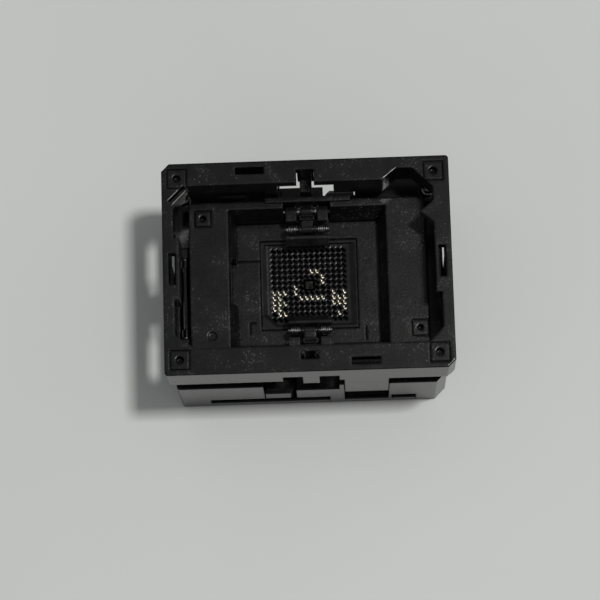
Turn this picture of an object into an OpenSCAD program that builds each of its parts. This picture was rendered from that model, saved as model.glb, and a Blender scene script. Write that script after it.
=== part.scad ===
// Open-top socket for a ball-grid package: a sprung cover slides on a base,
// swings two latches off the package and shifts a plate that opens the contacts.
// +Z is up from the board, +X runs along the long side, and z = 0 is the board face.

/* [Package nest] */
// Package length along X
package_l = 13; // [12.5:0.1:13.5]
// Package width along Y
package_w = 11.5; // [11:0.1:12]
// Height of the nest floor above the board
seat_z = 8; // [7.8:0.05:8.4]
// Height of the nest frame above its floor
nest_h = 3.3; // [3.1:0.1:3.5]
// Room between the package and the nest wall on each side
nest_play = 0.1; // [0.05:0.05:0.15]
// Slope of the nest's lead-in, measured across its top
lead_in = 0.65; // [0.5:0.05:0.7]
// Width of the nest frame's shelf beside the package, at each end
nest_side = 4.25; // [4.1:0.05:4.4]
// Thickness of the nest frame's long walls
nest_wall = 1.35; // [1.3:0.05:1.45]

/* [Cover] */
// How far the cover reaches past the base at each end
cover_over_l = 0.6; // [0.5:0.05:0.8]
// How far the cover reaches past the base's long walls
cover_over_w = 0.1; // [0.05:0.05:0.2]
// Height of the cover from the skirt's lower edge to its top face
cover_h = 4.4; // [4:0.1:5]
// Thickness of the cover's top plate
cover_plate_t = 1.2; // [0.9:0.1:1.5]
// Thickness of the cover's skirt
skirt_t = 0.55; // [0.45:0.05:0.6]
// How far the cover travels when it is pressed
cover_travel = 2.9; // [2.6:0.1:3]
// Room between the nest frame and the opening's front edge
open_gap_front = 0.15; // [0.12:0.01:0.2]
// Room between the nest frame and the opening's rear edge
open_gap_rear = 0.45; // [0.35:0.05:0.5]
// Room between the nest frame and the opening's side edges
open_gap_side = 1.15; // [1.1:0.05:1.2]
// Corner cut of the cover at the index corners
index_cut = 0.7; // [0.4:0.1:1]
// Corner radius of the cover at the other two corners
cover_r = 0.3; // [0.2:0.05:0.5]

/* [Cover hooks and latch openings] */
// Width of the long hooks on the front and rear skirts
hook_w = 4; // [3.6:0.1:4.3]
// Distance of a long hook's middle from the centre
hook_x = 5; // [4.9:0.1:5.3]
// Length of a hook below the skirt
hook_drop = 6.1; // [5.6:0.1:6.4]
// Height of a hook's catch
catch_h = 1.1; // [0.9:0.1:1.3]
// Reach of a hook's catch under the base's ledge
catch_reach = 0.6; // [0.45:0.05:0.7]
// Width of the short hooks on the side skirts
side_hook_w = 2.9; // [2.5:0.1:3.2]
// Width of the skirt's tongue in front of each latch
tongue_w = 1.6; // [1.4:0.1:1.8]
// Length of the tongue below the skirt
tongue_drop = 1.2; // [0.9:0.1:1.4]
// Width of the skirt slots beside the tongue
tongue_slot_w = 1.7; // [1.4:0.1:1.8]
// Height of the skirt slots beside the tongue
tongue_slot_h = 1.9; // [1.5:0.1:2.2]

/* [Base] */
// Thickness of the base's end walls, outside the nest frame
base_side = 1.55; // [1.5:0.05:1.65]
// Thickness of the base's long walls, outside the nest frame
base_wall = 2.45; // [2.4:0.05:2.55]
// Height of the base's walls above the nest floor
wall_rise = 0.6; // [0.5:0.05:0.7]
// Height of the walls' lower edge above the board
wall_foot_z = 2.9; // [2.8:0.1:3.1]
// Height of the low wall in front of each latch
low_wall_h = 6.5; // [6.2:0.1:6.8]
// Corner cut of the base at the index corners
base_cut = 1; // [0.7:0.1:1.2]
// Length of a corner foot along X
foot_l = 2.8; // [2.4:0.1:3]
// Width of a corner foot along Y
foot_w = 2.6; // [2.2:0.1:3]

/* [Contact field] */
// Pitch of the contacts
pitch = 0.5; // [0.48:0.01:0.5]
// Length of one contact hole along its diagonal
hole_l = 0.44; // [0.4:0.02:0.46]
// Width of one contact hole
hole_w = 0.25; // [0.22:0.01:0.26]
// Width of a contact's stem
stem_w = 0.12; // [0.1:0.01:0.13]
// Travel of the slider that opens the contacts
slider_travel = 0.2; // [0.15:0.01:0.24]

/* [Latches] */
// Distance of a latch's pivot behind the nest wall
pivot_out = 0.6; // [0.58:0.01:0.64]
// Height of a latch's pivot above the nest floor
pivot_rise = 1.9; // [1.85:0.05:1.95]
// Distance between a latch's two shafts
arm_l = 1.69; // [1.65:0.01:1.72]
// Reach of a pad's nose beyond its shaft
pad_reach = 1.46; // [1.4:0.02:1.5]
// Half width of a pad
pad_half_w = 2; // [1.9:0.05:2.05]
// Width of a latch arm
arm_w = 1.1; // [1:0.05:1.16]
// Width of a cheek beside the latch arm
cheek_w = 1; // [0.9:0.05:1]
// Radius of the latch shafts, pad shafts and lever rod
shaft_r = 0.22; // [0.18:0.01:0.24]
// Running clearance between a shaft and its bore, on the radius
shaft_play = 0.03; // [0.02:0.01:0.05]

/* [Springs] */
// Coil radius of a cover spring, at the middle of its wire
spring_r = 0.52; // [0.45:0.01:0.55]
// Wire diameter of a cover spring
spring_wire = 0.2; // [0.16:0.02:0.24]
// Turns of a cover spring
spring_turns = 9; // [8:1:11]
// Wire diameter of the springs on a pad's shaft
pad_wire = 0.16; // [0.12:0.01:0.17]
// Wire diameter of the springs on a latch's shaft
latch_wire = 0.11; // [0.09:0.01:0.11]

/* [Hidden] */
$fn = 32;
eps = 0.01;
running_gap = 0.1;                     // between pieces that slide past each other
fit_gap = 0.05;                        // between pieces that are fitted together
shaft_fit = 0.01;                      // round a shaft or pin where it is held, on the radius
stop_gap = 0.1;                        // left under the skirt at full travel

nest_half_l = package_l / 2 + nest_play;
nest_half_w = package_w / 2 + nest_play;
nest_l = 2 * (nest_half_l + nest_side);
nest_w = 2 * (nest_half_w + nest_wall);
base_l = nest_l + 2 * base_side;
base_w = nest_w + 2 * base_wall;
base_h = seat_z + wall_rise;
cover_l = base_l + 2 * cover_over_l;
cover_w = base_w + 2 * cover_over_w;
pivot_y = nest_half_w + pivot_out;
pivot_z = seat_z + pivot_rise;
pad_y = pivot_y - arm_l;
nose_y = pad_y - pad_reach;

cover_z = base_h + cover_travel + stop_gap;
cover_top = cover_z + cover_h;
plate_z = cover_top - cover_plate_t;
half_l = cover_l / 2;
half_w = cover_w / 2;
open_front = nest_w / 2 + open_gap_front;
open_rear = nest_w / 2 + open_gap_rear;
open_side = nest_l / 2 + open_gap_side;
side_step = 0.5;                       // inward steps of the side bars
side_step_y = 2.85;
tooth_y = 4.6;                         // tooth of the right side bar
tooth_reach = 1.2;
tooth_w = 2;
open_cut = 1.3;                        // corner cuts of the cover's opening
open_cut_rear = 0.45;                  // the rear left cut starts lower, with a step
open_cut_index = 0.75;                 // and so does the rear right one
index_depth = 1.05;                    // pocket at the rear right, for the index corner
index_w = 1.4;
index_slope = 1.3;
rim_t = 0.5;                           // wall round the opening, under the plate
rim_drop = 1.6;
rear_rim_drop = 2.8;                   // deeper along the rear bar
side_skirt_drop = 0.5;                 // the side skirts reach this far below the long ones
tongue_clear = 0.05;
window_y = 1.15;                       // window in the front bar, from its outer edge
window_w = 0.7;
notch_bar = 0.9;                       // rest of the rear bar behind its notch
slit_l = 1.9;                          // slit beside the opening's rear left corner
slit_w = 0.22;
slit_place = [0.35, 0.75];             // its middle, from the opening's corner
hook_window_cut = 0.7;                 // the long hooks' windows end this far inside the hooks
hook_lead = 0.2;                       // lead-in at a hook's end
catch_slope = 0.35;                    // upright face of a hook's catch
cam_t = 0.8;

pad_pocket = 1.85;                     // outlined squares at the cover's corners
pad_inset = 1.4;                       // their middles, from the cover's edges
mark_r = 0.35;
nest_mark_r = 0.28;
mark_depth = 0.6;
line_w = 0.12;
line_depth = 0.1;

nest_top = seat_z + nest_h;
nest_floor_t = 1;
nest_z = seat_z - nest_floor_t;
nest_straight = 1.2;                   // upright stretch of the nest wall
barrel_r = 0.55;                       // round a latch arm's bore
bridge_l = 7.85;                       // raised bars behind the latches
bridge_h = 0.9;
bridge_raise = 0.2;
bridge_shift = 0.12;
bridge_y = pivot_y + barrel_r;
rear_bridge_t = open_rear - 1.5 * running_gap - bridge_y;
front_bridge_t = open_front - running_gap - bridge_y;
channel_half = pad_half_w + 0.15;      // half width of a latch's channel in the nest frame
channel_z = seat_z + 0.6;
shaft_seat = 0.75;                     // length of a latch shaft in the channel's wall
latch_shaft_half = channel_half + shaft_seat;
tail_half = arm_w / 2 + 0.5;           // half width of the slot that the tail turns in
tail_slot_z = pivot_z - 2;
relief_w = 4.2;                        // shallow relief in the left nest wall
relief_in = 0.15;                      // and how far it stops short of the lead-in's edge
nest_pad = 1.6;                        // outlined squares and dot on the frame, from its corners
nest_pad_left = [1.3, 1.45];
nest_pad_right = [0.8, 2.1];
dot_place = [1.95, 1.9];
dot_r = 0.4;
seam_y = 2.3;                          // seams of the mould's inserts in the nest floor
seam_left = [1, 2.28, 1];              // insets from the walls, and length, of the corner seams
seam_right = [1.5, 1.65, 1.25];

field_n = 14;                          // rows and columns of the contact field
field_half = (field_n - 1) / 2 * pitch;
plate_t = nest_floor_t;
plate_dish = 0.2;                      // how far the contact plate's middle lies below its edge
dish_half = field_half + 0.6;
dish_bevel = 0.55;
plate_half_l = dish_half + 0.6;        // contact plate, in the nest floor's window
plate_half_w = dish_half + 0.35;
plate_cut = 1.1;
core_hole = 2 * pitch + 0.06;          // square hole in the middle of the field
core_gap = 0.07;                       // round the square core pin in it
core_half = core_hole / 2 - core_gap;
core_cut = 0.12;                       // chamfer round the pin's top
core_low = 0.3;                        // the pin's top below the nest floor
core_seat = 1;                         // depth of its seat in the contact block

notch_depth = 1.4;                     // of the notches in the long walls, for the snap lugs
slider_t = 1.2;
slider_room = 0.55;                    // between the slider and the contact plate
slider_z = nest_z - slider_room - slider_t;
block_half_l = field_half + 1.75;      // contact block under the slider
block_half_w = field_half + 1.15;
block_top = slider_z - fit_gap;
board_plate_t = 1.3;                   // lead guide plate that lies on the board
block_z = board_plate_t;
slider_half_l = block_half_l;
slider_half_w = block_half_w - 0.2;
well_half_l = block_half_l + slider_travel + 0.3;
well_half_w = block_half_w + fit_gap;
stem_hole = stem_w + 0.1;
contact_low = 0.1;                     // a contact's tail ends this far above the board
fork_half = 0.17;                      // its fork, with a tall tip and a short one
tip_t = 0.09;
tip_h = [0.35, 0.25];
fork_h = 0.3;

spring_x = base_l / 2 - 1.1;
spring_y = base_w / 2 - 1.35;
spring_pocket_r = spring_r + spring_wire / 2 + 0.13;
spring_floor = 3.4;

hook_z = cover_z - hook_drop;
hook_slot_play = 0.06;
ledge_z = hook_z + catch_h + fit_gap;
window_low = hook_z - cover_travel - 0.15;

lug_w = 2.8;                           // snap lugs of the retainer in the wall notches
lug_gap = 0.1;
lug_cut = [0.5, 0.65];                 // corner cut of a lug, beside the low wall
snap_h = 2.5;
snap_edge = 0.35;
snap_arm_y = base_w / 2 - 1.3;
snap_arm_t = 0.4;
retainer_inset = 0.5;                  // of the retainer's long sides behind the snap arms
notch_x = -3;                          // middle of a wall notch
notch_w = lug_w + 2 * lug_gap;
low_wall_x = 0.5;
low_wall_w = 4;
mid_foot = [1.6, 7.3];                 // stretch of the front wall that reaches the board
mid_foot_w = 1.8;
retainer_z = board_plate_t + fit_gap;
retainer_t = wall_foot_z - fit_gap - retainer_z;

lever_x = 1.05 - base_l / 2;
lever_t = 0.24;
lever_y = [-5, 2.2];
rod_z = base_h + 1;
lever_top = rod_z + 0.6;
lever_foot = slider_z + 0.45;
lever_eye_r = 0.38;
lever_eye_w = 0.7;
lever_slot = 0.6;                      // half width of the slot that the lever swings in
lever_gap = 0.15;                      // between the lever and the ends of its slot
lever_window = 0.5;                    // the sheet is cut back this far round the rod
rod_ear_t = 1;
rod_ear_top = rod_z + 0.45;
lever_room = 0.4;                      // under the lever's foot
arm_gap = 0.13;                        // between the slider's arm and the hanging lever
arm_reach = -lever_x - lever_t / 2 - arm_gap;
arm_room = 0.3;                        // from the arm's end to the end of its tunnel
slider_arm_w = 3;

tail_r = 2.05;                         // reach of a latch's tail from its pivot
tail_tip_r = 0.28;
tail_tip = tail_r * sin(45);
web_h = 0.6;
cam_gap = 0.12;
cam_z = pivot_z + tail_tip + tail_tip_r + cam_gap;
cheek_in = arm_w / 2 + 0.4;            // cheeks of the latch, with a coil between them and the arm
cheek_r = 0.5;
cheek_y = pivot_y - cheek_r * 2;
cheek_web = 0.4;                       // bar that joins the cheeks below the arm
boss_half = arm_w / 2 + 0.13;          // framed block on the arm, ahead of its coils
boss_l = 0.45;
boss_rim = 0.15;
pad_z = pivot_z + 0.05;
pad_low = pivot_z - 0.65;
pad_high = pivot_z + 0.3;
pad_back_y = pad_y - 0.5;
pad_back_z = pad_z - 0.1;
pad_nose_h = 0.25;                     // upright face of a pad's nose
pad_slope = 0.57;                      // and the slope and crest behind it
pad_crest = 0.8;
lug_t = 0.22;
lug_r = 0.36;
lug_play = 0.07;                       // between a pad's lug and the arm
lug_neck = 0.2;
coil_gap = 0.05;                       // between a shaft and the coil round it
coil_pitch = 1.1;                      // of the torsion springs, in wire diameters
torsion_turns = 5;
torsion_legs = [0.45, 0.3];
torsion_start = 100;
latch_spring_turns = 2;
latch_legs = [0.2, 0.25];
end_gap = 0.02;                        // at both ends of a cover spring

// Arm, lugs and coils stand side by side along a pad's shaft
arm_half = arm_w / 2;
lug_in = arm_half + lug_play;
coil_in = lug_in + lug_t + coil_gap;

// Contacts that are fitted, as [column, row] from the lower left of the field
CONTACTS = concat(
    [for (c = [0, 1, 2]) [c, 5]], [for (c = [0, 1]) [c, 4]], [for (c = [0, 1, 2]) [c, 3]],
    [for (c = [0, 1]) [c, 2]], [for (c = [1, 2]) [c, 1]],
    [for (c = [11, 13]) [c, 5]], [for (c = [11:13]) [c, 4]], [for (c = [11:13]) [c, 3]],
    [[13, 2]], [[12, 1]], [[7, 9], [8, 9], [9, 8], [9, 7]], [[4, 6], [4, 5]],
    [for (c = [5:9]) [c, 4]]);

// Draws its children as they are and again half a turn round, as the socket repeats
module both_ends() {
    children();
    rotate([0, 0, 180]) children();
}

module box(low, high) {
    translate(low) cube(high - low);
}

// Rectangle with two cut corners on one diagonal and two round ones on the other
module body_outline(l, w, cut, r) {
    difference() {
        square([l, w], center = true);
        both_ends() {
            polygon([[l / 2, -w / 2], [l / 2, -w / 2 + cut], [l / 2 - cut, -w / 2]]);
            difference() {
                translate([l / 2 - r, w / 2 - r]) square(r + eps);
                translate([l / 2 - r, w / 2 - r]) circle(r);
            }
        }
    }
}

// The cover's opening, with its cut corners, side steps, tooth and index pocket
module opening_outline() {
    step = open_side - side_step;
    index_x = step - open_cut - side_step;
    rear_cut = open_rear - open_cut_rear;
    polygon([
        [-open_side + open_cut + side_step, -open_front], [open_side - open_cut, -open_front],
        [open_side, -open_front + open_cut], [open_side, -side_step_y], [step, -side_step_y],
        [step, tooth_y - tooth_w / 2], [step - tooth_reach, tooth_y], [step, tooth_y + tooth_w / 2],
        [step, open_rear - open_cut_index],
        [index_x, open_rear + index_depth], [index_x - index_w, open_rear + index_depth],
        [index_x - index_w - index_slope, open_rear],
        [-open_side + open_cut, open_rear], [-open_side + open_cut, rear_cut],
        [-open_side, rear_cut - open_cut], [-open_side, side_step_y], [-open_side + side_step, side_step_y],
        [-open_side + side_step, -side_step_y], [-open_side, -side_step_y],
        [-open_side, -open_front + open_cut]]);
}

// Hook seen end on: y = 0 is the skirt's outer face and the catch reaches towards +y
module hook(w) {
    rotate([90, 0, 90]) linear_extrude(w, center = true)
        polygon([[0, hook_z + hook_lead], [hook_lead, hook_z], [skirt_t, hook_z],
            [skirt_t + catch_reach, hook_z + catch_h - catch_slope],
            [skirt_t + catch_reach, hook_z + catch_h],
            [skirt_t, hook_z + catch_h], [skirt_t, plate_z], [0, plate_z]]);
}

module hook_window(w) {
    translate([0, skirt_t + catch_reach / 2, plate_z + cover_plate_t / 2])
        cube([w, catch_reach + fit_gap, cover_plate_t + 2 * eps], center = true);
}

module corner_pad() {
    translate([0, 0, cover_top - line_depth]) linear_extrude(line_depth + eps) difference() {
        square(pad_pocket, center = true);
        square(pad_pocket - 2 * line_w, center = true);
    }
    translate([0, 0, cover_top - mark_depth]) cylinder(r = mark_r, h = mark_depth + eps);
}

module skirt_plan() {
    difference() {
        body_outline(cover_l, cover_w, index_cut, cover_r);
        body_outline(cover_l - 2 * skirt_t, cover_w - 2 * skirt_t, index_cut, cover_r);
    }
}

// Rim round the opening, clear of the springs, the nest frame and the latches' tails
module rim_plan() {
    difference() {
        intersection() {
            offset(delta = rim_t) opening_outline();
            body_outline(cover_l, cover_w, index_cut, cover_r);
        }
        opening_outline();
        square([nest_l, nest_w] + 2 * running_gap * [1, 1], center = true);
        square([tongue_w + 2 * (tongue_slot_w + tongue_clear), cover_w], center = true);
        for (x = [-1, 1], y = [-1, 1])
            translate([x * spring_x, y * spring_y]) circle(spring_pocket_r);
    }
}

module cover() {
    color([0.09, 0.09, 0.1]) difference() {
        union() {
            translate([0, 0, plate_z]) linear_extrude(cover_plate_t) difference() {
                body_outline(cover_l, cover_w, index_cut, cover_r);
                opening_outline();
            }
            translate([0, 0, cover_z]) linear_extrude(cover_h - cover_plate_t + eps) skirt_plan();
            translate([0, 0, plate_z - rim_drop]) linear_extrude(rim_drop + eps) rim_plan();
            translate([0, 0, plate_z - rear_rim_drop]) linear_extrude(rear_rim_drop + eps)
                intersection() {
                    rim_plan();
                    translate([-half_l, open_rear - eps]) square([cover_l, half_w]);
                }
            translate([0, 0, cover_z - side_skirt_drop]) linear_extrude(cover_h - cover_plate_t)
                intersection() {
                    skirt_plan();
                    for (x = [-half_l, half_l]) translate([x, 0])
                        square([2 * skirt_t, cover_w - 2 * cover_r], center = true);
                }
            both_ends() {
                translate([hook_x, -half_w, 0]) hook(hook_w);
                translate([-half_l, 0, 0]) rotate([0, 0, -90]) hook(side_hook_w);
                // tongue, and the cam rib that presses the latch's tail
                box([-tongue_w / 2, -half_w, cover_z - tongue_drop],
                    [tongue_w / 2, -half_w + skirt_t, plate_z + eps]);
                box([-arm_half, -half_w + skirt_t - eps, cam_z], [arm_half, -open_rear, plate_z + eps]);
            }
        }
        both_ends() {
            for (s = [-1, 1])
                translate([s * (tongue_w + tongue_slot_w) / 2, -half_w, cover_z])
                    cube([tongue_slot_w + 2 * tongue_clear, 3 * skirt_t, 2 * tongue_slot_h], center = true);
            translate([hook_x, -half_w, 0]) hook_window(hook_w - 2 * hook_window_cut);
            translate([-half_l, 0, 0]) rotate([0, 0, -90]) hook_window(side_hook_w);
        }
        // window over the front latch's tail, and the notch over the rear one
        translate([0, -half_w + window_y, cam_z + cam_t]) linear_extrude(cover_h)
            translate([0, window_w / 2]) square([tongue_w, window_w], center = true);
        box([-tongue_w / 2, open_rear - eps, cam_z + cam_t],
            [tongue_w / 2, half_w - notch_bar, cover_top + eps]);
        for (x = [-1, 1], y = [-1, 1])
            translate([x * (half_l - pad_inset), y * (half_w - pad_inset), 0]) corner_pad();
        // slit beside the cut corner at the rear left
        translate([slit_place[0] - open_side, open_rear - slit_place[1], cover_top]) rotate([0, 0, 45])
            cube([slit_l, slit_w, cover_plate_t], center = true);
    }
}

module base_plan() {
    body_outline(base_l, base_w, base_cut, cover_r);
}

module base() {
    back = base_w / 2;
    side = base_l / 2;
    hook_room = hook_w / 2 + hook_slot_play;
    color([0.1, 0.1, 0.11]) difference() {
        union() {
            translate([0, 0, wall_foot_z]) linear_extrude(base_h - wall_foot_z) base_plan();
            // ears at both ends of the lever's slot, for its rod
            for (y = [lever_y[0] - lever_gap - rod_ear_t, lever_y[1] + lever_gap])
                box([lever_x - lever_eye_r, y, base_h - eps],
                    [lever_x + lever_eye_r, y + rod_ear_t, rod_ear_top]);
            // feet at the corners and under the middle of the long walls
            intersection() {
                linear_extrude(wall_foot_z + eps) base_plan();
                union() {
                    for (x = [-1, 1], y = [-1, 1])
                        translate([x * (side - foot_l / 2), y * (back - foot_w / 2), wall_foot_z / 2])
                            cube([foot_l, foot_w, wall_foot_z + 2 * eps], center = true);
                    both_ends() box([mid_foot[0], -back, 0],
                        [mid_foot[1], -back + mid_foot_w, wall_foot_z + eps]);
                }
            }
        }
        // recess for the nest frame, and the well for the contacts and the slider
        box([-nest_l / 2 - fit_gap, -nest_w / 2 - fit_gap, nest_z - fit_gap],
            [nest_l / 2 + fit_gap, nest_w / 2 + fit_gap, base_h + eps]);
        box([-well_half_l, -well_half_w, -eps], [well_half_l, well_half_w, base_h]);
        for (x = [-1, 1], y = [-1, 1])
            translate([x * spring_x, y * spring_y, spring_floor])
                cylinder(r = spring_pocket_r, h = base_h);
        both_ends() {
            // low wall and the pocket that a latch's tail turns into
            box([low_wall_x - low_wall_w / 2, -back - eps, low_wall_h],
                [low_wall_x + low_wall_w / 2, -nest_w / 2, base_h + eps]);
            // wall notch with the retainer's snap lug in it
            box([notch_x - notch_w / 2, -back - eps, wall_foot_z - eps],
                [notch_x + notch_w / 2, -back + notch_depth, base_h + eps]);
            // recess and catch window of the long hook
            box([hook_x - hook_room, -back - eps, board_plate_t],
                [hook_x + hook_room, -half_w + skirt_t + hook_slot_play, base_h + eps]);
            box([hook_x - hook_room, -back - eps, window_low],
                [hook_x + hook_room, -half_w + skirt_t + catch_reach + running_gap, ledge_z]);
            // catch window of the side hook
            box([-side - eps, -side_hook_w / 2 - hook_slot_play, window_low],
                [-half_l + skirt_t + catch_reach + running_gap, side_hook_w / 2 + hook_slot_play, ledge_z]);
        }
        // slot that the lever hangs in, and the tunnel of the slider's arm
        box([lever_x - lever_slot, lever_y[0] - lever_gap, lever_foot - lever_room],
            [lever_x + lever_slot, lever_y[1] + lever_gap, rod_ear_top + eps]);
        box([-arm_reach - arm_room, -slider_arm_w / 2 - running_gap, slider_z - fit_gap],
            [-well_half_l + eps, slider_arm_w / 2 + running_gap, slider_z + slider_t + running_gap]);
        translate([lever_x, 0, rod_z]) rotate([90, 0, 0])
            cylinder(r = shaft_r + shaft_fit, h = base_w, center = true);
    }
}

// Tapered room for the package, from the nest floor to above the frame
module nest_room() {
    box([-nest_half_l, -nest_half_w, seat_z], [nest_half_l, nest_half_w, nest_top]);
    hull() {
        translate([0, 0, seat_z + nest_straight])
            linear_extrude(eps) square([2 * nest_half_l, 2 * nest_half_w], center = true);
        translate([0, 0, nest_top])
            linear_extrude(eps)
                square([2 * (nest_half_l + lead_in), 2 * (nest_half_w + lead_in)], center = true);
    }
}

module nest_mark() {
    translate([0, 0, nest_top - line_depth]) linear_extrude(line_depth + eps) difference() {
        square(nest_pad, center = true);
        square(nest_pad - 2 * line_w, center = true);
    }
    translate([0, 0, nest_top - mark_depth]) cylinder(r = nest_mark_r, h = mark_depth + eps);
}

// Groove of the mould's seam in the nest floor, from one corner to the opposite one
module seam(low, high) {
    translate([low[0], low[1], seat_z - line_depth])
        cube([high[0] - low[0] + line_w, high[1] - low[1] + line_w, line_depth + eps]);
}

// Seams of the mould's inserts in the nest floor
module seams() {
    left = seam_left[0] - nest_half_l;
    right = nest_half_l - seam_right[0];
    top_left = seam_left[1] - nest_half_w;
    top_right = seam_right[1] - nest_half_w;
    seam([-nest_half_l, seam_y], [-plate_half_l, seam_y]);
    seam([left, top_left - seam_left[2]], [left, top_left]);
    seam([left, top_left], [left + seam_left[2] / 2, top_left]);
    seam([right, top_right - seam_right[2]], [right, top_right]);
}

module nest_frame() {
    bridge_z = nest_top - bridge_h + bridge_raise;
    color([0.11, 0.11, 0.12]) difference() {
        union() {
            box([-nest_l / 2, -nest_w / 2, nest_z], [nest_l / 2, nest_w / 2, nest_top]);
            box([-bridge_l / 2 + bridge_shift, bridge_y, bridge_z],
                [bridge_l / 2 + bridge_shift, bridge_y + rear_bridge_t, nest_top + bridge_raise]);
            box([-bridge_l / 2 - bridge_shift, -bridge_y - front_bridge_t, bridge_z],
                [bridge_l / 2 - bridge_shift, -bridge_y, nest_top + bridge_raise]);
        }
        nest_room();
        // window for the contact plate
        box([-plate_half_l - fit_gap, -plate_half_w - fit_gap, nest_z - eps],
            [plate_half_l + fit_gap, plate_half_w + fit_gap, seat_z + eps]);
        // relief in the left wall, for taking the package out
        box([relief_in - nest_half_l - lead_in, -relief_w / 2, seat_z],
            [0, relief_w / 2, nest_top + eps]);
        both_ends() {
            // room for the latch, and the slot that its tail turns in under the raised bar
            box([-channel_half, 0, channel_z], [channel_half, bridge_y, nest_top + 1]);
            box([-tail_half, nest_half_w, tail_slot_z], [tail_half, nest_w, bridge_z]);
            translate([0, pivot_y, pivot_z]) rotate([0, 90, 0])
                cylinder(r = shaft_r + shaft_fit, h = 2 * (latch_shaft_half + fit_gap), center = true);
        }
        translate([nest_pad_left[0] - nest_l / 2, nest_w / 2 - nest_pad_left[1], 0]) nest_mark();
        translate([nest_l / 2 - nest_pad_right[0], nest_pad_right[1] - nest_w / 2, 0]) nest_mark();
        translate([dot_place[0] - nest_l / 2, dot_place[1] - nest_w / 2, nest_top - line_depth])
            cylinder(r = dot_r, h = 2 * line_depth);
        seams();
    }
}

// Position of the contact in column c and row r of the field
function place(c, r) = [(c - (field_n - 1) / 2) * pitch, (r - (field_n - 1) / 2) * pitch];
function in_core(c, r) = abs(c - (field_n - 1) / 2) < 1 && abs(r - (field_n - 1) / 2) < 1;

module contact_plate() {
    color([0.13, 0.13, 0.14]) difference() {
        box([-plate_half_l, -plate_half_w, nest_z], [plate_half_l, plate_half_w, seat_z]);
        // dished middle with bevelled edges, on which the balls lie
        hull() {
            translate([0, 0, seat_z - plate_dish]) linear_extrude(eps) dish_outline(0);
            translate([0, 0, seat_z]) linear_extrude(eps) dish_outline(dish_bevel);
        }
        translate([0, 0, nest_z - eps]) linear_extrude(plate_t + 2 * eps) {
            for (c = [0:field_n - 1], r = [0:field_n - 1])
                if (!in_core(c, r))
                    translate(place(c, r)) rotate(-45) square([hole_l, hole_w], center = true);
            square(core_hole, center = true);
        }
    }
}

module dish_outline(grow) {
    h = dish_half + grow;
    polygon([[-h + plate_cut, -dish_half], [h, -dish_half], [h, dish_half], [-h, dish_half],
        [-h, -dish_half + plate_cut]]);
}

// Square pin with a chamfered top
module core_pin() {
    low = block_top - core_seat;
    high = seat_z - core_low;
    color([0.3, 0.29, 0.28]) {
        box([-core_half, -core_half, low], [core_half, core_half, high - core_cut]);
        translate([0, 0, high - core_cut])
            linear_extrude(core_cut, scale = 1 - core_cut / core_half) square(2 * core_half, center = true);
    }
}

// Square holes at the fitted contacts, right through a plate; slot lengthens them towards -X
module stem_holes(z, h, slot = 0) {
    translate([0, 0, z - eps]) linear_extrude(h + 2 * eps)
        for (p = CONTACTS) translate(place(p[0], p[1]) - [slot / 2, 0])
            square([stem_hole + slot, stem_hole], center = true);
}

module slider() {
    core_room = 2 * (core_half + running_gap);
    color([0.16, 0.16, 0.15]) difference() {
        union() {
            box([-slider_half_l, -slider_half_w, slider_z],
                [slider_half_l, slider_half_w, slider_z + slider_t]);
            box([-arm_reach, -slider_arm_w / 2, slider_z], [0, slider_arm_w / 2, slider_z + slider_t]);
        }
        stem_holes(slider_z, slider_t, slider_travel);
        translate([0, 0, slider_z + slider_t / 2])
            cube([core_room + 2 * slider_travel, core_room, 2 * slider_t], center = true);
    }
}

module contact_block() {
    core_room = core_half + shaft_fit;
    color([0.12, 0.12, 0.13]) difference() {
        box([-block_half_l, -block_half_w, block_z], [block_half_l, block_half_w, block_top]);
        stem_holes(block_z, block_top - block_z);
        box([-core_room, -core_room, block_top - core_seat], [core_room, core_room, block_top + eps]);
    }
}

// One sprung contact: a square stem with two tips that pinch the ball
module contact() {
    stem_top = seat_z - plate_dish - running_gap;
    half = stem_w / 2;
    box([-half, -half, contact_low], [half, half, stem_top]);
    rotate([0, 0, -45]) {
        box([-fork_half, -half, stem_top - fork_h], [fork_half, half, stem_top]);
        box([-fork_half, -half, stem_top - eps], [tip_t - fork_half, half, stem_top + tip_h[0]]);
        box([fork_half - tip_t, -half, stem_top - eps], [fork_half, half, stem_top + tip_h[1]]);
    }
}

module contacts() {
    color([0.95, 0.8, 0.4]) for (p = CONTACTS) translate(place(p[0], p[1])) contact();
}

// Snap lug seen end on, for a front wall: y grows towards the middle of the socket
module snap_profile() {
    front = -base_w / 2;
    top = wall_foot_z + snap_h;
    polygon([[-snap_arm_y, retainer_z], [-snap_arm_y, top], [front + snap_edge, top],
        [front, top - snap_edge], [front, wall_foot_z + running_gap],
        [-snap_arm_y - snap_arm_t, wall_foot_z + running_gap], [-snap_arm_y - snap_arm_t, retainer_z]]);
}

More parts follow.
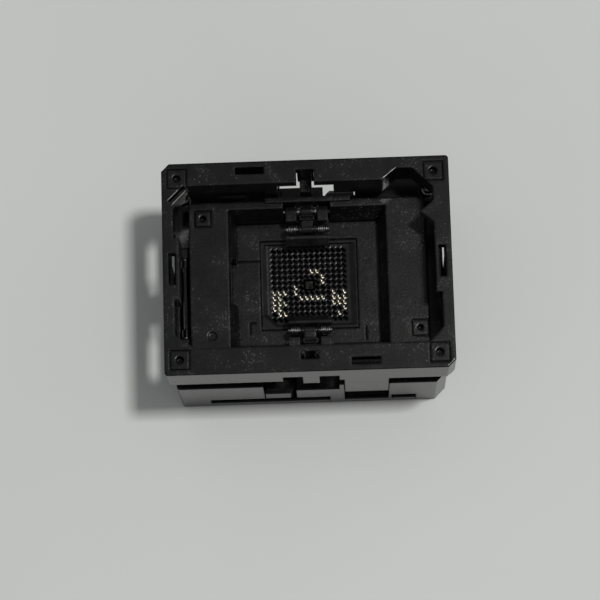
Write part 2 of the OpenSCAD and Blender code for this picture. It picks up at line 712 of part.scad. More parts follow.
module retainer() {
    reach = base_l / 2 - foot_l - fit_gap;
    color([0.14, 0.14, 0.15]) difference() {
        union() {
            box([-reach, retainer_inset - snap_arm_y, retainer_z],
                [reach, snap_arm_y - retainer_inset, retainer_z + retainer_t]);
            both_ends() {
                translate([notch_x, 0, 0]) rotate([90, 0, 90])
                    linear_extrude(lug_w, center = true) snap_profile();
                box([notch_x - lug_w / 2, -snap_arm_y - eps, retainer_z],
                    [notch_x + lug_w / 2, 0, retainer_z + retainer_t]);
            }
        }
        box([-block_half_l - fit_gap, -block_half_w - fit_gap, 0],
            [block_half_l + fit_gap, block_half_w + fit_gap, wall_foot_z + eps]);
        for (x = [-1, 1], y = [-1, 1])
            translate([x * (base_l - foot_l) / 2, y * (base_w - foot_w) / 2, 0])
                cube([foot_l + 2 * fit_gap, foot_w + 2 * fit_gap, 4 * wall_foot_z], center = true);
        both_ends() {
            box([mid_foot[0] - fit_gap, -base_w, 0],
                [mid_foot[1] + fit_gap, -base_w / 2 + mid_foot_w + fit_gap, wall_foot_z + eps]);
            // corner cut of the lug
            translate([notch_x + lug_w / 2, -base_w / 2, wall_foot_z + eps]) linear_extrude(snap_h)
                polygon([[-lug_cut[0], 0], [-lug_cut[0], -1], [1, -1], [1, lug_cut[1]], [0, lug_cut[1]]]);
        }
    }
}

module lead_guide() {
    color([0.12, 0.12, 0.12]) difference() {
        linear_extrude(board_plate_t) difference() {
            base_plan();
            for (x = [-1, 1], y = [-1, 1])
                translate([x * (base_l - foot_l) / 2, y * (base_w - foot_w) / 2])
                    square([foot_l + 2 * fit_gap, foot_w + 2 * fit_gap], center = true);
            both_ends() translate([mid_foot[0] - fit_gap, -base_w / 2 - eps])
                square([mid_foot[1] - mid_foot[0] + 2 * fit_gap, mid_foot_w + fit_gap + eps]);
        }
        stem_holes(0, board_plate_t);
    }
}

// Stamped lever that hangs on its rod; its foot pushes the slider's arm
module lever() {
    mid = [lever_y[0] + lever_eye_w, lever_y[1] - lever_eye_w];
    color([0.6, 0.6, 0.62]) difference() {
        union() {
            box([lever_x - lever_t / 2, lever_y[0], lever_foot],
                [lever_x + lever_t / 2, lever_y[1], rod_z]);
            box([lever_x - lever_t / 2, mid[0], rod_z - eps], [lever_x + lever_t / 2, mid[1], lever_top]);
            for (y = [lever_y[0], mid[1]])
                translate([lever_x, y, rod_z]) rotate([-90, 0, 0]) cylinder(r = lever_eye_r, h = lever_eye_w);
        }
        translate([lever_x, 0, rod_z]) rotate([90, 0, 0])
            cylinder(r = shaft_r + shaft_play, h = base_w, center = true);
        // the sheet is cut back round the bare stretch of the rod
        box([lever_x - lever_t, mid[0] + lever_window, rod_z - lever_window],
            [lever_x + lever_t, mid[1] - lever_window, rod_z + lever_window]);
    }
}

module lever_rod() {
    low = lever_y[0] - running_gap - rod_ear_t;
    color([0.75, 0.75, 0.76]) translate([lever_x, low, rod_z]) rotate([-90, 0, 0])
        cylinder(r = shaft_r, h = lever_y[1] + running_gap + rod_ear_t - low);
}

// Extrudes a profile drawn in Y and Z along X, centred on x = 0
module across(w) {
    rotate([90, 0, 90]) linear_extrude(w, center = true) children();
}

// The latch parts are drawn at the rear and turned half a turn for the front
module arm_profile() {
    tail_y = pivot_y + tail_tip;
    translate([pivot_y, pivot_z]) circle(barrel_r);
    translate([pad_y, pad_z]) circle(lug_r);
    polygon([[pad_y, pad_z - web_h / 2], [pivot_y, pivot_z - web_h / 2],
        [pivot_y, pivot_z + web_h / 2], [pad_y, pad_z + web_h / 2]]);
    translate([pivot_y, pivot_z - web_h / 2]) square([tail_tip + tail_tip_r, web_h]);
    translate([tail_y - tail_tip_r, pivot_z]) square([2 * tail_tip_r, tail_tip]);
    translate([tail_y, pivot_z + tail_tip]) circle(tail_tip_r);
}

// Eye round the shaft with a flat top, which stops the coils sideways
module cheek_profile() {
    translate([pivot_y, pivot_z]) circle(cheek_r);
    translate([cheek_y, pivot_z - cheek_r]) square([pivot_y - cheek_y, 2 * cheek_r]);
}

module latch_arm() {
    cheek_out = cheek_in + cheek_w;
    boss_y = cheek_y + running_gap;
    color([0.15, 0.15, 0.16]) difference() {
        union() {
            across(arm_w) arm_profile();
            for (s = [-1, 1])
                translate([s * (cheek_in + cheek_w / 2), 0, 0]) across(cheek_w) cheek_profile();
            box([-cheek_out, cheek_y, pivot_z - cheek_r],
                [cheek_out, cheek_y + cheek_web, pivot_z - cheek_r / 4]);
            box([-boss_half, boss_y, pivot_z], [boss_half, boss_y + boss_l, pivot_z + cheek_r]);
        }
        // shallow frame in the block's top
        box([boss_rim - boss_half, boss_y + boss_rim, pivot_z + cheek_r - boss_rim],
            [boss_half - boss_rim, boss_y + boss_l - boss_rim / 2, pivot_z + cheek_r + eps]);
        across(2 * cheek_out + 1) translate([pivot_y, pivot_z]) circle(shaft_r + shaft_play);
        across(arm_w + 1) translate([pad_y, pad_z]) circle(shaft_r + shaft_play);
    }
}

module latch_pad() {
    color([0.13, 0.13, 0.14]) {
        across(2 * pad_half_w) polygon([[nose_y, pad_low], [nose_y, pad_low + pad_nose_h],
            [nose_y + pad_slope, pad_high], [nose_y + pad_crest, pad_high], [pad_back_y, pad_back_z],
            [pad_back_y, pad_low]]);
        for (s = [-1, 1]) translate([s * (lug_in + lug_t / 2), 0, 0]) across(lug_t) difference() {
            union() {
                translate([pad_y, pad_z]) circle(lug_r);
                polygon([[pad_back_y - eps, pad_low], [pad_y, pad_z - lug_r], [pad_y, pad_z + lug_neck],
                    [pad_back_y - eps, pad_back_z]]);
            }
            translate([pad_y, pad_z]) circle(shaft_r + shaft_fit);
        }
    }
}

module cross_shaft(y, z, half) {
    color([0.7, 0.7, 0.72]) translate([0, y, z]) rotate([0, 90, 0])
        cylinder(r = shaft_r, h = 2 * half, center = true);
}

function unit(v) = v / norm(v);

// Round wire of diameter d along points p, with n as the outward direction at each point
module wire(p, n, d, sides = 6) {
    last = len(p) - 1;
    t = [for (i = [0:last]) unit(p[min(i + 1, last)] - p[max(i - 1, 0)])];
    ring = [for (i = [0:last]) let (u = unit(n[i] - (n[i] * t[i]) * t[i]), b = cross(t[i], u))
        for (j = [0:sides - 1]) p[i] + d / 2 * (cos(360 * j / sides) * u + sin(360 * j / sides) * b)];
    polyhedron(ring, concat(
        [[for (j = [0:sides - 1]) j]],
        [for (i = [0:last - 1], j = [0:sides - 1]) let (a = i * sides, b = a + sides, k = (j + 1) % sides)
            [a + j, b + j, b + k, a + k]],
        [[for (j = [sides - 1:-1:0]) last * sides + j]]), convexity = 10);
}

// Closed coil round the X axis from x = 0, with a straight leg at each end
module torsion_spring(r, d, turns, legs, start = 0) {
    steps = 12;
    count = turns * steps;
    a = [for (i = [0:count]) start + 360 * i / steps];
    coil = [for (i = [0:count]) [d / 2 + i / steps * d * coil_pitch, r * cos(a[i]), r * sin(a[i])]];
    out = [for (i = [0:count]) [0, cos(a[i]), sin(a[i])]];
    ta = [0, sin(a[0]), -cos(a[0])];
    tb = [0, -sin(a[count]), cos(a[count])];
    wire(concat([coil[0] + legs[0] * ta], coil, [coil[count] + legs[1] * tb]),
        concat([out[0]], out, [out[count]]), d);
}

module pad_springs() {
    r = shaft_r + coil_gap + pad_wire / 2;
    color([0.85, 0.85, 0.84]) for (s = [0, 1]) mirror([s, 0, 0])
        translate([coil_in, pad_y, pad_z])
            torsion_spring(r, pad_wire, torsion_turns, torsion_legs, torsion_start);
}

module latch_springs() {
    r = shaft_r + coil_gap + latch_wire / 2;
    color([0.85, 0.85, 0.84]) for (s = [0, 1]) mirror([s, 0, 0])
        translate([arm_half + coil_gap / 2, pivot_y, pivot_z])
            torsion_spring(r, latch_wire, latch_spring_turns, latch_legs);
}

module cover_spring(x, y) {
    steps = 10;
    count = spring_turns * steps;
    low = spring_floor + spring_wire / 2 + end_gap;
    high = plate_z - spring_wire / 2 - end_gap;
    a = [for (i = [0:count]) 360 * i / steps];
    // the end turns lie close, the others share what is left
    close = coil_pitch * spring_wire;
    rise = [for (i = [0:count]) let (t = i / steps)
        t < 1 ? close * t
        : t > spring_turns - 1 ? high - low - close * (spring_turns - t)
        : close + (high - low - 2 * close) * (t - 1) / (spring_turns - 2)];
    color([0.8, 0.8, 0.8]) translate([x, y, low])
        wire([for (i = [0:count]) [spring_r * cos(a[i]), spring_r * sin(a[i]), rise[i]]],
            [for (i = [0:count]) [cos(a[i]), sin(a[i]), 0]], spring_wire);
}

cover();
base();
nest_frame();
contact_plate();
core_pin();
slider();
contact_block();
contacts();
retainer();
lead_guide();
lever();
lever_rod();
latch_arm();  // latch_arm_rear
rotate([0, 0, 180]) latch_arm();  // latch_arm_front
latch_pad();  // latch_pad_rear
rotate([0, 0, 180]) latch_pad();  // latch_pad_front
cross_shaft(pad_y, pad_z, pad_half_w);  // pad_shaft_rear
cross_shaft(-pad_y, pad_z, pad_half_w);  // pad_shaft_front
cross_shaft(pivot_y, pivot_z, latch_shaft_half);  // latch_shaft_rear
cross_shaft(-pivot_y, pivot_z, latch_shaft_half);  // latch_shaft_front
pad_springs();  // pad_springs_rear
rotate([0, 0, 180]) pad_springs();  // pad_springs_front
latch_springs();  // latch_springs_rear
rotate([0, 0, 180]) latch_springs();  // latch_springs_front
cover_spring(-spring_x, -spring_y);  // cover_spring_1
cover_spring(spring_x, -spring_y);  // cover_spring_2
cover_spring(spring_x, spring_y);  // cover_spring_3
cover_spring(-spring_x, spring_y);  // cover_spring_4
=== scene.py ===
import math

import bpy
from mathutils import Matrix, Vector


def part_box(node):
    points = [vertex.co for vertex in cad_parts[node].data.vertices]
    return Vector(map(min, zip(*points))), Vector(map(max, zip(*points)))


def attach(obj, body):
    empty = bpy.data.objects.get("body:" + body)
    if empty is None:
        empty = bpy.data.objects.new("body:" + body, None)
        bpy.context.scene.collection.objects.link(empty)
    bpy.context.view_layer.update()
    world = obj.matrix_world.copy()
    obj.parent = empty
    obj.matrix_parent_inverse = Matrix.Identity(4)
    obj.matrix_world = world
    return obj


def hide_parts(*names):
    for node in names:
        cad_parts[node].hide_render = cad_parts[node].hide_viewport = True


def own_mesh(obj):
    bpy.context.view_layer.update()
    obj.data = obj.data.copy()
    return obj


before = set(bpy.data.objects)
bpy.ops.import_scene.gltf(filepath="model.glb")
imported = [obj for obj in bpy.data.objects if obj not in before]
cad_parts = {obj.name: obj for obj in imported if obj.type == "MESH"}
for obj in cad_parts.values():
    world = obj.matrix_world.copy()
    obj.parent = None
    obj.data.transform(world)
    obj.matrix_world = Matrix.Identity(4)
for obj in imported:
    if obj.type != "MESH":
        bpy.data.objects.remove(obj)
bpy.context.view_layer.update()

# ---------------------------------------------------------------- Base and lower plates
# The base is one moulding of black glass-filled plastic. The contact block sits in its
# middle, held by the retainer that snaps in from below, and the lead guide lies on the
# board between the feet. All four come from the same kind of mould, with a fine grain.

mm = 0.001
moulding_black = (0.003, 0.003, 0.0031, 1)
moulding_grey = (0.006, 0.0061, 0.0062, 1)
# light grey for the flecks of glass fibre: painted glints
fibre_glint_grey = (0.13, 0.132, 0.128, 1)
rubbed_grey = (0.03, 0.03, 0.031, 1)
# near black for the painted shade in corners and holes
cavity_shade_black = (0.001, 0.001, 0.001, 1)


def new_group(name, inputs, outputs):
    group = bpy.data.node_groups.new(name, "ShaderNodeTree")
    for socket_name, kind, value in inputs:
        socket = group.interface.new_socket(socket_name, in_out="INPUT", socket_type=kind)
        if value is not None:
            socket.default_value = value
    for socket_name, kind in outputs:
        group.interface.new_socket(socket_name, in_out="OUTPUT", socket_type=kind)
    return group, group.nodes.new("NodeGroupInput").outputs, group.nodes.new("NodeGroupOutput").inputs


def add_node(tree, kind, links=(), **settings):
    node = tree.nodes.new("ShaderNode" + kind)
    for name, value in settings.items():
        setattr(node, name, value)
    for socket, source in dict(links).items():
        if isinstance(source, bpy.types.NodeSocket):
            tree.links.new(source, node.inputs[socket])
        else:
            node.inputs[socket].default_value = source
    return node


def add_range(tree, value, low, high, out_low=0.0, out_high=1.0):
    links = {"Value": value, "From Min": low, "From Max": high, "To Min": out_low, "To Max": out_high}
    return add_node(tree, "MapRange", links, clamp=True).outputs["Result"]


def add_mix(tree, factor, a, b):
    node = add_node(tree, "Mix", {0: factor}, data_type="RGBA")
    for socket, value in ((node.inputs[6], a), (node.inputs[7], b)):
        if isinstance(value, bpy.types.NodeSocket):
            tree.links.new(value, socket)
        else:
            socket.default_value = value
    return node.outputs[2]


def build_mould_grain():
    """Spark-eroded mould texture, cloudy flow of the filler, and glass fibres at the skin, painted as
    light flecks for their glints.
    """
    group, given, result = new_group(
        "mould_grain",
        [("Vector", "NodeSocketVector", None), ("Grain", "NodeSocketFloat", 9000.0),
         ("Flecks", "NodeSocketFloat", 0.5)],
        [("Height", "NodeSocketFloat"), ("Tone", "NodeSocketFloat"), ("Fleck", "NodeSocketFloat")])
    skin = add_node(group, "TexNoise", {"Vector": given["Vector"], "Scale": given["Grain"],
                                        "Detail": 3.0, "Roughness": 0.6})
    coarse = add_node(group, "Math", {0: given["Grain"], 1: 0.06}, operation="MULTIPLY")
    cloud = add_node(group, "TexNoise", {"Vector": given["Vector"], "Scale": coarse.outputs[0],
                                         "Detail": 4.0, "Roughness": 0.65})
    # fibres lie in patches, and each is a ragged spot of painted glint colour
    ragged = add_node(group, "VectorMath", {0: skin.outputs[1], 1: (0.5, 0.5, 0.5)}, operation="SUBTRACT")
    ragged = add_node(group, "VectorMath", {0: ragged.outputs[0], "Scale": 0.16 * mm}, operation="SCALE")
    ragged = add_node(group, "VectorMath", {0: given["Vector"], 1: ragged.outputs[0]}, operation="ADD")
    sparse = add_node(group, "Math", {0: given["Grain"], 1: 0.95}, operation="MULTIPLY")
    fibre = add_node(group, "TexVoronoi", {"Vector": ragged.outputs[0], "Scale": sparse.outputs[0],
                                           "Randomness": 1.0})
    dot = add_range(group, fibre.outputs["Distance"], 0.42, 0.12)
    pick = add_node(group, "SeparateColor", {"Color": fibre.outputs["Color"]})
    patch = add_range(group, cloud.outputs[0], 0.5, 0.64)
    share = add_node(group, "Math", {0: given["Flecks"], 1: patch}, operation="MULTIPLY")
    rare = add_node(group, "Math", {0: 1.0, 1: share.outputs[0]}, operation="SUBTRACT")
    chosen = add_node(group, "Math", {0: pick.outputs[0], 1: rare.outputs[0]}, operation="GREATER_THAN")
    fleck = add_node(group, "Math", {0: dot, 1: chosen.outputs[0]}, operation="MULTIPLY")
    faded = add_node(group, "Math", {0: fleck.outputs[0], 1: pick.outputs[1]}, operation="MULTIPLY")
    group.links.new(skin.outputs[0], result["Height"])
    group.links.new(add_range(group, cloud.outputs[0], 0.38, 0.66), result["Tone"])
    group.links.new(faded.outputs[0], result["Fleck"])
    return group


def build_rubbed_edges():
    """Edges that are rounded by the mould and polished by handling, in broken stretches."""
    group, given, result = new_group(
        "rubbed_edges",
        [("Vector", "NodeSocketVector", None), ("Patches", "NodeSocketFloat", 900.0)],
        [("Mask", "NodeSocketFloat"), ("Normal", "NodeSocketVector")])
    rounded = add_node(group, "Bevel", {"Radius": 0.25 * mm}, samples=8)
    plain = add_node(group, "NewGeometry")
    turn = add_node(group, "VectorMath", {0: rounded.outputs["Normal"], 1: plain.outputs["Normal"]},
                    operation="DOT_PRODUCT")
    edge = add_range(group, turn.outputs["Value"], 0.995, 0.86)
    patches = add_node(group, "TexNoise", {"Vector": given["Vector"], "Scale": given["Patches"],
                                           "Detail": 4.0, "Roughness": 0.7})
    broken = add_range(group, patches.outputs[0], 0.36, 0.62)
    mask = add_node(group, "Math", {0: edge, 1: broken}, operation="MULTIPLY")
    group.links.new(mask.outputs[0], result["Mask"])
    group.links.new(rounded.outputs["Normal"], result["Normal"])
    return group


mould_grain = build_mould_grain()
rubbed_edges = build_rubbed_edges()


def add_group(tree, group, links):
    node = tree.nodes.new("ShaderNodeGroup")
    node.node_tree = group
    for socket, source in links.items():
        if isinstance(source, bpy.types.NodeSocket):
            tree.links.new(source, node.inputs[socket])
        else:
            node.inputs[socket].default_value = source
    return node.outputs


def new_material(name):
    material = bpy.data.materials.new(name)
    material.use_nodes = True
    tree = material.node_tree
    place = add_node(tree, "TexCoord").outputs["Object"]
    return material, tree, tree.nodes["Principled BSDF"], place


def moulded_plastic(name, dark, light, rubbed, grain=9000.0, flecks=0.25, relief=0.006,
                    roughness=(0.16, 0.26), rub=0.2):
    material, tree, shader, place = new_material(name)
    skin = add_group(tree, mould_grain, {"Vector": place, "Grain": grain, "Flecks": flecks})
    edge = add_group(tree, rubbed_edges, {"Vector": place})
    colour = add_mix(tree, skin["Tone"], dark, light)
    # the flecks mix in light grey: painted glints of the glass fibres
    colour = add_mix(tree, skin["Fleck"], colour, fibre_glint_grey)
    worn = add_node(tree, "Math", {0: edge["Mask"], 1: rub}, operation="MULTIPLY").outputs[0]
    colour = add_mix(tree, worn, colour, rubbed)
    # corners and holes get painted shade: ambient occlusion mixes their colour towards near black and
    # lowers their shine
    cavity = add_node(tree, "AmbientOcclusion", {"Distance": 0.5 * mm}, samples=8, only_local=True)
    unshaded_share = add_range(tree, cavity.outputs["AO"], 0.4, 0.85)
    colour = add_mix(tree, unshaded_share, cavity_shade_black, colour)
    tree.links.new(colour, shader.inputs["Base Color"])
    tree.links.new(add_range(tree, unshaded_share, 0, 1, 0.04, 0.2), shader.inputs["Specular IOR Level"])
    tree.links.new(add_range(tree, skin["Height"], 0.3, 0.7, *roughness), shader.inputs["Roughness"])
    bump = add_node(tree, "Bump", {"Height": skin["Height"], "Normal": edge["Normal"],
                                   "Strength": 0.8, "Distance": relief * mm})
    tree.links.new(bump.outputs[0], shader.inputs["Normal"])
    return material


def dress(material, *names):
    for name in names:
        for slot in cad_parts[name].material_slots:
            slot.material = material


base_plastic = moulded_plastic("base_plastic", moulding_black, moulding_grey, rubbed_grey, flecks=0.3)
dress(base_plastic, "base", "retainer", "contact_block", "lead_guide")

# ---------------------------------------------------------------- Contacts
# Each contact is stamped from a gold-plated spring strip. Its stem stands in the block
# and its two fingers pinch a solder ball: a tall blade, and a shorter tab across from it.

pitch = 0.5 * mm
stem_w = 0.12 * mm
shoulder_t = 0.08 * mm
finger_h = 0.95 * mm
finger_lean = 0.01 * mm
tab_share = 0.86                # the tab's height as a share of the blade's
blade_plan = (-0.13 * mm, -0.06 * mm, -0.05 * mm, 0.15 * mm)
tab_plan = (0.01 * mm, 0.14 * mm, -0.15 * mm, -0.08 * mm)
contact_low, contact_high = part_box("contacts")


def clear_selection():
    if bpy.context.object and bpy.context.object.mode != "OBJECT":
        bpy.ops.object.mode_set(mode="OBJECT")
    bpy.ops.object.select_all(action="DESELECT")


def pick_faces(piece, test):
    """Selects the faces of the piece in edit mode for which test(face) holds."""
    bpy.ops.mesh.select_all(action="DESELECT")
    bpy.ops.object.mode_set(mode="OBJECT")
    for face in piece.data.polygons:
        face.select = test(face)
    bpy.ops.object.mode_set(mode="EDIT")


def settle(piece):
    """Puts the piece's place, turn and size into its mesh."""
    clear_selection()
    piece.select_set(True)
    bpy.context.view_layer.objects.active = piece
    bpy.ops.object.transform_apply(location=True, rotation=True, scale=True)


def model_finger(name, low_x, high_x, low_y, high_y, rise, lean):
    """One finger of a contact: it stands on the shoulder, leans to the ball and thins out."""
    clear_selection()
    foot = contact_high.z - finger_h
    bpy.ops.mesh.primitive_cube_add(
        size=1, location=((low_x + high_x) / 2, (low_y + high_y) / 2, foot + shoulder_t / 2),
        scale=(high_x - low_x, high_y - low_y, shoulder_t))
    finger = bpy.context.object
    finger.name = name
    settle(finger)
    bpy.ops.object.mode_set(mode="EDIT")
    pick_faces(finger, lambda face: face.normal.z > 0.9)
    for share, bend, slim in ((0.4, -1, 1.0), (0.35, 0, 0.94), (0.25, 1, 0.78)):
        bpy.ops.mesh.extrude_region_move(
            TRANSFORM_OT_translate={"value": (bend * lean, 0, share * (rise - shoulder_t))})
        bpy.ops.transform.resize(value=(slim, slim, 1))
    bpy.ops.object.mode_set(mode="OBJECT")
    return finger


def model_contact():
    """A stem, a slanted shoulder, a blade finger at the left and a short tab at the right."""
    clear_selection()
    foot = contact_high.z - finger_h
    bpy.ops.mesh.primitive_cube_add(size=1, location=(0, 0, (contact_low.z + foot) / 2),
                                    scale=(stem_w, stem_w, foot - contact_low.z))
    stem = bpy.context.object
    settle(stem)
    bpy.ops.object.mode_set(mode="EDIT")
    pick_faces(stem, lambda face: face.normal.z > 0.9)
    bpy.ops.mesh.extrude_region_move(TRANSFORM_OT_translate={"value": (0, 0, shoulder_t / 2)})
    bpy.ops.transform.resize(value=(2.6, 1.1, 1))
    bpy.ops.mesh.extrude_region_move(TRANSFORM_OT_translate={"value": (0, 0, shoulder_t / 2)})
    bpy.ops.object.mode_set(mode="OBJECT")
    stem.rotation_euler = (0, 0, math.radians(-45))
    settle(stem)
    blade = model_finger("blade", *blade_plan, finger_h, finger_lean)
    tab = model_finger("tab", *tab_plan, tab_share * finger_h, -finger_lean)
    return join_as("contact", [stem, blade, tab])


def contact_places():
    """The middle of each contact's foot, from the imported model."""
    places = set()
    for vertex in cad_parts["contacts"].data.vertices:
        if vertex.co.z < contact_low.z + 0.01 * mm:
            places.add((math.floor(vertex.co.x / pitch), math.floor(vertex.co.y / pitch)))
    return [((column + 0.5) * pitch, (row + 0.5) * pitch) for column, row in sorted(places)]


def copy_of(piece, name, x=0.0, y=0.0):
    twin = piece.copy()
    twin.data = piece.data.copy()
    twin.name = name
    bpy.context.collection.objects.link(twin)
    twin.location = (x, y, 0)
    settle(twin)
    return twin


def join_as(name, pieces):
    clear_selection()
    for piece in pieces:
        piece.select_set(True)
    bpy.context.view_layer.objects.active = pieces[0]
    bpy.ops.object.join()
    joined = bpy.context.object
    joined.name = name
    joined.data.name = name
    return joined


def spring_metal(name, light, dark, roughness, grain=5000.0):
    material, tree, shader, place = new_material(name)
    film = add_node(tree, "TexNoise", {"Vector": place, "Scale": grain, "Detail": 3.0})
    tone = add_range(tree, film.outputs[0], 0.35, 0.65)
    tree.links.new(add_mix(tree, tone, dark, light), shader.inputs["Base Color"])
    tree.links.new(add_range(tree, film.outputs[0], 0.3, 0.7, *roughness), shader.inputs["Roughness"])
    shader.inputs["Metallic"].default_value = 1
    bump = add_node(tree, "Bump", {"Height": film.outputs[0], "Strength": 0.4, "Distance": 0.002 * mm})
    tree.links.new(bump.outputs[0], shader.inputs["Normal"])
    return material


one_contact = model_contact()
formed = [copy_of(one_contact, f"contact_{i}", x, y) for i, (x, y) in enumerate(contact_places())]
bpy.data.objects.remove(one_contact)
contacts = join_as("formed_contacts", formed)
contacts.data.materials.append(
    spring_metal("contact_gold", (1.0, 0.95, 0.85, 1), (0.97, 0.87, 0.68, 1), (0.3, 0.45)))
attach(contacts, "base")
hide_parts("contacts")

# ---------------------------------------------------------------- Slider, contact plate and core pin
# The slider shifts sideways to open the contacts. Above it lies the contact plate, with
# one slanted hole for each ball. The square pin in the middle lines the stack up.

plate_plastic = moulded_plastic("plate_plastic", (0.004, 0.004, 0.0042, 1), (0.01, 0.01, 0.0105, 1),
                                (0.035, 0.035, 0.035, 1), grain=7000.0, flecks=0.2)
dress(plate_plastic, "contact_plate", "slider")
pin_metal = spring_metal("pin_metal", (0.016, 0.016, 0.015, 1), (0.007, 0.007, 0.0068, 1), (0.2, 0.34))
dress(pin_metal, "core_pin")

# ---------------------------------------------------------------- Nest frame
# The nest frame holds the package by its edges. Its mould was spark-eroded, so its faces
# have a coarser, mottled grain than the cover's.

nest_plastic = moulded_plastic("nest_plastic", (0.004, 0.0041, 0.0041, 1), (0.0105, 0.0109, 0.0107, 1),
                               (0.035, 0.035, 0.035, 1), grain=6200.0, flecks=0.9, relief=0.014)
dress(nest_plastic, "nest_frame")

# ---------------------------------------------------------------- Latches
# Each latch is a plastic arm on a ground steel shaft. Its pad hangs on a second shaft
# between two coil springs, which press it flat on the package.

latch_plastic = moulded_plastic("latch_plastic", (0.005, 0.005, 0.0052, 1), (0.012, 0.012, 0.0125, 1),
                                (0.06, 0.06, 0.06, 1), grain=6500.0, flecks=0.4, relief=0.01)
dress(latch_plastic, "latch_arm_rear", "latch_arm_front", "latch_pad_rear", "latch_pad_front")
shaft_steel = spring_metal("shaft_steel", (0.12, 0.12, 0.122, 1), (0.05, 0.05, 0.051, 1), (0.3, 0.45))
dress(shaft_steel, "latch_shaft_rear", "latch_shaft_front", "pad_shaft_rear", "pad_shaft_front",
      "lever_rod")

# ---------------------------------------------------------------- Lever
# A stamped steel lever hangs in a slot of the base and turns the cover's stroke into the
# slider's short shift.

# near-black steel colour: painted shade of the deep gap the lever hangs in
stamped_steel = spring_metal("stamped_steel", (0.012, 0.012, 0.0122, 1),
                             (0.004, 0.004, 0.0041, 1), (0.3, 0.5))
dress(stamped_steel, "lever")

# ---------------------------------------------------------------- Springs
# Four compression springs lift the cover, and small torsion springs sit on the latch and
# pad shafts. All are wound from drawn stainless wire, with closed end turns.

spring_steel = spring_metal("spring_steel", (0.3, 0.3, 0.297, 1), (0.1, 0.1, 0.1, 1), (0.28, 0.45))


def wind(name, wire_r, coil_r, stretches, sides=10, steps=28):
    """A coil round Z from z = 0. A stretch is (turns, pitch); the wire's ends are closed."""
    runs = []
    height = 0.0
    for turns, step in stretches:
        clear_selection()
        bpy.ops.mesh.primitive_circle_add(vertices=sides, radius=wire_r, location=(coil_r, 0, height),
                                          rotation=(math.radians(90), 0, 0))
        run = bpy.context.object
        settle(run)
        screw = run.modifiers.new("Screw", "SCREW")
        screw.axis = "Z"
        screw.iterations = turns
        screw.screw_offset = step
        screw.steps = screw.render_steps = steps
        bpy.ops.object.modifier_apply(modifier="Screw")
        runs.append(run)
        height += turns * step
    coil = join_as(name, runs)
    bpy.ops.object.mode_set(mode="EDIT")
    bpy.ops.mesh.select_all(action="SELECT")
    bpy.ops.mesh.remove_doubles(threshold=wire_r / 50)
    bpy.ops.mesh.select_all(action="DESELECT")
    bpy.ops.mesh.select_mode(type="EDGE")
    bpy.ops.mesh.select_non_manifold()
    bpy.ops.mesh.edge_face_add()
    bpy.ops.mesh.select_mode(type="FACE")
    bpy.ops.mesh.select_all(action="SELECT")
    bpy.ops.mesh.normals_make_consistent(inside=False)
    bpy.ops.object.mode_set(mode="OBJECT")
    bpy.ops.object.shade_smooth_by_angle(angle=math.radians(50))
    return coil


def dress_spring(coil, body, node):
    coil.data.materials.append(spring_steel)
    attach(coil, body)
    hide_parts(node)


cover_wire_r = 0.1 * mm
open_turns = 7
for number in (1, 2, 3, 4):
    node = f"cover_spring_{number}"
    low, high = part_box(node)
    wire_r = cover_wire_r
    coil_r = (high.x - low.x) / 2 - wire_r
    length = high.z - low.z - 2 * wire_r
    end_pitch = 2.1 * wire_r
    open_pitch = (length - 2 * end_pitch) / open_turns
    coil = wind(f"{node}_wire", wire_r, coil_r, [(1, end_pitch), (open_turns, open_pitch), (1, end_pitch)])
    coil.location = ((low.x + high.x) / 2, (low.y + high.y) / 2, low.z + wire_r)
    settle(coil)
    dress_spring(coil, "base", node)
    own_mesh(coil)


def torsion_pair(node, body, wire_r, turns, inner_x):
    """Two coils along X on one shaft, mirrored about the middle."""
    low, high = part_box(node.replace("springs", "shaft"))
    middle_y = (low.y + high.y) / 2
    middle_z = (low.z + high.z) / 2
    coil_r = 0.22 * mm + 0.05 * mm + wire_r
    pair = []
    for side in (-1, 1):
        coil = wind(f"{node}_{side}", wire_r, coil_r, [(turns, 2.2 * wire_r)])
        coil.rotation_euler = (0, side * math.radians(90), 0)
        coil.location = (side * (inner_x + wire_r), middle_y, middle_z)
        settle(coil)
        pair.append(coil)
    dress_spring(join_as(f"{node}_wire", pair), body, node)


for end in ("rear", "front"):
    torsion_pair(f"pad_springs_{end}", f"latch_{end}", 0.08 * mm, 5, 0.89 * mm)
    torsion_pair(f"latch_springs_{end}", "base", 0.055 * mm, 2, 0.575 * mm)

# ---------------------------------------------------------------- Cover
# The cover is the piece that a finger or a press pushes down: one black moulding with
# hooks along its skirt. Handling has polished its edges; the light flecks on its top are
# painted glints of its glass fibres.

cover_plastic = moulded_plastic("cover_plastic", (0.0035, 0.0036, 0.0036, 1), (0.008, 0.0082, 0.0082, 1),
                                (0.035, 0.035, 0.035, 1), grain=7500.0, flecks=0.7, relief=0.006)
dress(cover_plastic, "cover")

# ---------------------------------------------------------------- Table, light and camera
# The socket stands on a plain pale table under one lamp, a little to the right of
# overhead, and the room's dim light. The camera looks down on it from just in front.

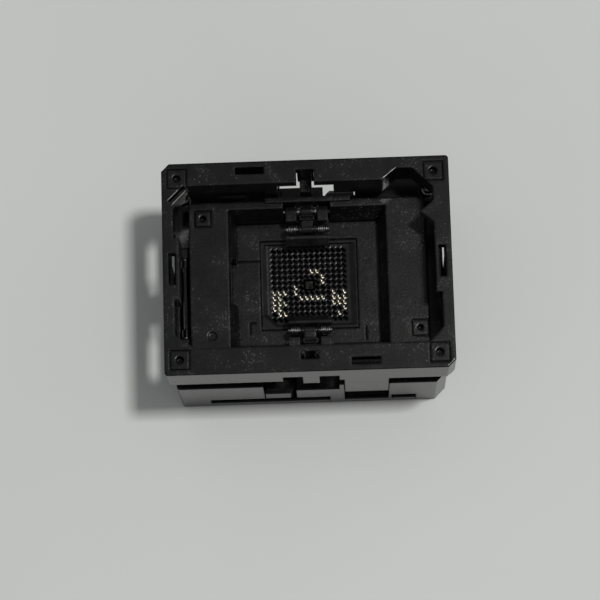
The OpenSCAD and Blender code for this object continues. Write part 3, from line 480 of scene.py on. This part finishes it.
clear_selection()
bpy.ops.mesh.primitive_plane_add(size=3, location=(0, 0, 0))
table = bpy.context.object
table.name = "table"
table_paint, tree, shader, place = new_material("table_paint")
mottle = add_node(tree, "TexNoise", {"Vector": place, "Scale": 14.0, "Detail": 5.0})
tone = add_range(tree, mottle.outputs[0], 0.3, 0.7)
paint = add_mix(tree, tone, (0.56, 0.575, 0.56, 1), (0.6, 0.615, 0.6, 1))
tree.links.new(paint, shader.inputs["Base Color"])
shader.inputs["Roughness"].default_value = 0.6
table.data.materials.append(table_paint)

# the room is dark near the horizon, where its furniture stands, and pale above it
world = bpy.data.worlds.new("room")
bpy.context.scene.world = world
world.use_nodes = True
sky = world.node_tree
way = add_node(sky, "TexCoord").outputs["Generated"]
rise = add_node(sky, "SeparateXYZ", {0: way}).outputs["Z"]
air = add_mix(sky, add_range(sky, rise, 0.25, 0.55), (0.12, 0.12, 0.122, 1), (0.34, 0.342, 0.347, 1))
sky.links.new(air, sky.nodes["Background"].inputs["Color"])
sky.nodes["Background"].inputs["Strength"].default_value = 1


def add_lamp(name, size, place, watts, colour):
    light = bpy.data.lights.new(name, "AREA")
    light.shape = "RECTANGLE"
    light.size = light.size_y = size
    light.energy = watts
    light.color = colour
    lamp = bpy.data.objects.new(name, light)
    bpy.context.collection.objects.link(lamp)
    lamp.location = place
    lamp.rotation_euler = (-Vector(place)).to_track_quat("-Z", "Y").to_euler()


add_lamp("window", 0.1, (0.28, 0.03, 1.1), 7.6, (1, 0.992, 0.975))

camera_distance = 250 * mm
camera_tilt = math.radians(13.25)
camera_turn = math.radians(3.51)
camera_roll = math.radians(-1.7)
cover_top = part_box("cover")[1].z
back = Vector((math.sin(camera_tilt) * math.sin(camera_turn),
               -math.sin(camera_tilt) * math.cos(camera_turn), math.cos(camera_tilt)))
right = (-back).cross(Vector((0, 1, 0))).normalized()
up = right.cross(-back)
rolled_right = math.cos(camera_roll) * right + math.sin(camera_roll) * up
rolled_up = -math.sin(camera_roll) * right + math.cos(camera_roll) * up
camera = bpy.data.objects.new("camera", bpy.data.cameras.new("camera"))
bpy.context.collection.objects.link(camera)
camera.matrix_world = Matrix.Translation(Vector((0, 0, cover_top)) + camera_distance * back) @ Matrix(
    (rolled_right, rolled_up, back)).transposed().to_4x4()
camera.data.sensor_width = 36
camera.data.lens = 167.2
camera.data.shift_x = -0.0123
camera.data.shift_y = -0.059
camera.data.clip_start = 0.01
bpy.context.scene.camera = camera
bpy.context.scene.view_settings.view_transform = "Standard"
